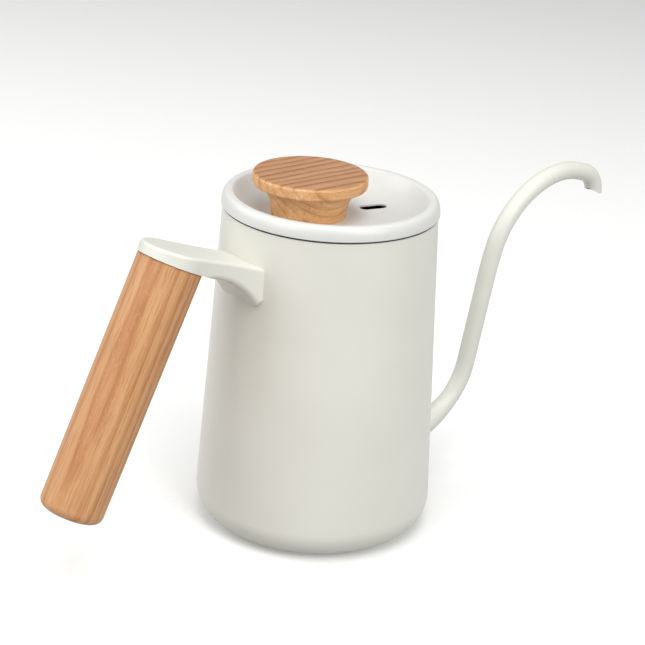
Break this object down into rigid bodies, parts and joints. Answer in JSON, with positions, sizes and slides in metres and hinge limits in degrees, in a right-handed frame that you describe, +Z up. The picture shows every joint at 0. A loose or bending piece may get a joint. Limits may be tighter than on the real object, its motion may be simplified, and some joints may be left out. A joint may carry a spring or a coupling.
{
  "type": "gooseneck kettle",
  "caption": "Tapered round kettle with a thin gooseneck spout, a slanted wooden grip on a cantilever bracket and a lift-off lid with a wooden knob.",
  "frame": {"origin": "centre of the body's underside, on the surface that the kettle stands on", "axes": "+Z up along the body's axis, +X from the body towards the spout, -X towards the handle"},
  "size_m": [0.267, 0.0888, 0.1358],
  "materials": {
    "body_coat": "satin warm-white baked enamel-like powder coat on stainless steel",
    "lid_coat": "satin white baked coat on stainless steel",
    "bare_steel": "satin stainless steel",
    "base_steel": "turned magnetic stainless steel",
    "grip_wood": "oiled straight-grained wood",
    "knob_wood": "oiled turned wood",
    "gasket_rubber": "dark grey silicone",
    "insert_brass": "machined"
  },
  "bodies": {
    "kettle": {"body_wall": "body_coat", "base_pan": "body_coat", "base_disc": "base_steel", "mouth_ring": "bare_steel", "spout_tube": "body_coat", "handle_bracket": "body_coat", "grip_stud": "bare_steel", "handle_grip": "grip_wood", "grip_washer": "bare_steel", "grip_spring_washer": "bare_steel", "grip_bolt": "bare_steel"},
    "lid_ring": {"lid_gasket": "gasket_rubber"},
    "lid": {"lid_shell": "lid_coat", "lid_skirt": "bare_steel", "lid_knob": "knob_wood", "knob_insert": "insert_brass", "knob_seal": "gasket_rubber", "knob_washer": "bare_steel", "knob_screw": "bare_steel"}
  },
  "joints": [
    {"name": "lid_lift", "type": "slide", "parent": "kettle", "child": "lid_ring", "axis": [0, 0, 1], "range_m": [0, 0.06]},
    {"name": "lid_turn", "type": "hinge", "parent": "lid_ring", "child": "lid", "pos_m": [0, 0, 0.122], "axis": [0, 0, 1], "continuous": true}
  ]
}
